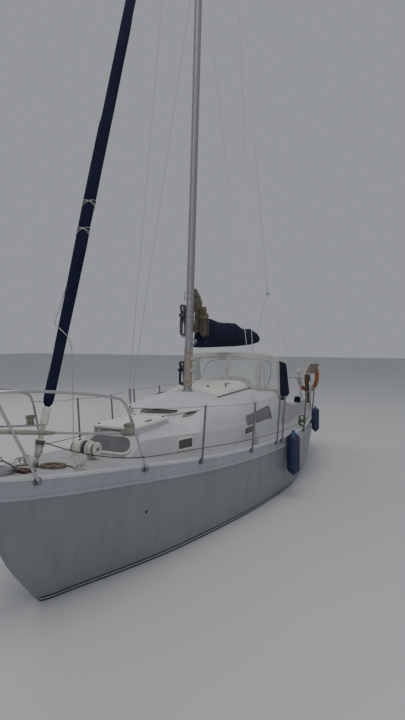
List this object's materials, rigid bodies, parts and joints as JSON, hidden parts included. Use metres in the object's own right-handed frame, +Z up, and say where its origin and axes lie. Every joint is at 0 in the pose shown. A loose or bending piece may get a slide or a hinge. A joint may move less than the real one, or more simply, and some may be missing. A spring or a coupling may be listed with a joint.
{
  "type": "sailing yacht",
  "caption": "Small cruising sloop with raised deckhouse, fin keel and transom-hung rudder; mainsail stowed under a cover, headsail furled.",
  "frame": {"origin": "on the centreline at the waterline, halfway along it, where the water holds the hull", "axes": "+X to the bow, +Y to port, +Z up along the mast's side of the boat"},
  "size_m": [9.025, 2.8069, 14.558],
  "materials": {
    "hull_gelcoat": "aged white gelcoat, navy boot line and dark antifouling below",
    "deck_gelcoat": "weathered off-white gelcoat with non-slip panels",
    "cream_moulding": "yellowed cream moulding",
    "steel": "stainless tube and wire",
    "alloy": "dull anodised spar",
    "navy_canvas": "navy acrylic canvas",
    "white_canvas": "off-white coated canvas with clear panes",
    "glazing": "smoked acrylic",
    "antifouling": "matt dark antifouling paint",
    "timber": "varnished hardwood, worn",
    "bronze": "dull bronze",
    "iron": "galvanised or painted iron",
    "fender_vinyl": "navy vinyl",
    "white_metal": "chipped white paint",
    "brown_canvas": "faded tan and brown canvas",
    "grey_plastic": "weathered beige-grey plastic",
    "buoy_cover": "faded orange-brown cover with white bands"
  },
  "bodies": {
    "root": {"hull": "hull_gelcoat", "keel_fin": "antifouling", "propeller_shaft": "steel", "engine_block": "iron", "coachroof": "deck_gelcoat", "deckhouse": "deck_gelcoat", "window_side_port": "glazing", "window_front_port": "glazing", "window_side_starboard": "glazing", "window_front_starboard": "glazing", "sea_hood": "cream_moulding", "washboards": "timber", "toe_rail_port": "hull_gelcoat", "rubbing_strake_port": "hull_gelcoat", "toe_rail_starboard": "hull_gelcoat", "rubbing_strake_starboard": "hull_gelcoat", "pulpit": "steel", "pushpit": "steel", "lifelines_port": "steel", "lifelines_starboard": "steel", "bow_roller": "steel", "anchor": "iron", "windlass": "white_metal", "mast": "alloy", "spreader_port": "alloy", "spreader_starboard": "alloy", "masthead_crane": "alloy", "furled_headsail": "navy_canvas", "furler_drum": "cream_moulding", "cap_shroud_port": "steel", "lower_shroud_port": "steel", "cap_shroud_starboard": "steel", "lower_shroud_starboard": "steel", "backstay": "steel", "dodger_canopy": "white_canvas", "dodger_frame": "steel", "winch_port": "navy_canvas", "cleat_fore_port": "steel", "cleat_aft_port": "steel", "winch_starboard": "navy_canvas", "cleat_fore_starboard": "steel", "cleat_aft_starboard": "steel", "fender_port_fore": "fender_vinyl", "fender_port_aft": "fender_vinyl", "window_front_centre": "glazing", "sidelight_port": "grey_plastic", "sidelight_starboard": "grey_plastic", "horseshoe_buoy": "buoy_cover", "outboard_pad": "timber", "stowed_outboard": "brown_canvas"},
    "boom": {"boom": "alloy", "sail_cover": "navy_canvas", "luff_bundle": "brown_canvas"},
    "rudder": {"rudder": "antifouling", "tiller": "timber"},
    "propeller": {"propeller": "bronze"},
    "fore_hatch": {"fore_hatch_lid": "cream_moulding"},
    "sliding_hatch": {"sliding_hatch": "cream_moulding"},
    "windlass_drum": {"windlass_drum": "white_metal"}
  },
  "joints": [
    {"name": "boom_swing", "type": "hinge", "parent": "root", "child": "boom", "pos_m": [0.235, 0, 2.265], "axis": [-0.0645, 0, 0.9979], "range_deg": [-70, 70]},
    {"name": "rudder_turn", "type": "hinge", "parent": "root", "child": "rudder", "pos_m": [-4.07, 0, 0.5], "axis": [0, 0, 1], "range_deg": [-35, 35]},
    {"name": "propeller_spin", "type": "hinge", "parent": "root", "child": "propeller", "pos_m": [-2.70126, 0, -0.56873], "axis": [-0.9858, 0, -0.168], "continuous": true},
    {"name": "fore_hatch_lift", "type": "hinge", "parent": "root", "child": "fore_hatch", "pos_m": [2.312, 0, 1.348], "axis": [0, 1, 0], "range_deg": [0, 95]},
    {"name": "sliding_hatch_slide", "type": "slide", "parent": "root", "child": "sliding_hatch", "axis": [1, 0, 0], "range_m": [0, 0.5]},
    {"name": "windlass_spin", "type": "hinge", "parent": "root", "child": "windlass_drum", "pos_m": [2.75, 0.1, 1.215], "axis": [0, 1, 0], "continuous": true}
  ]
}
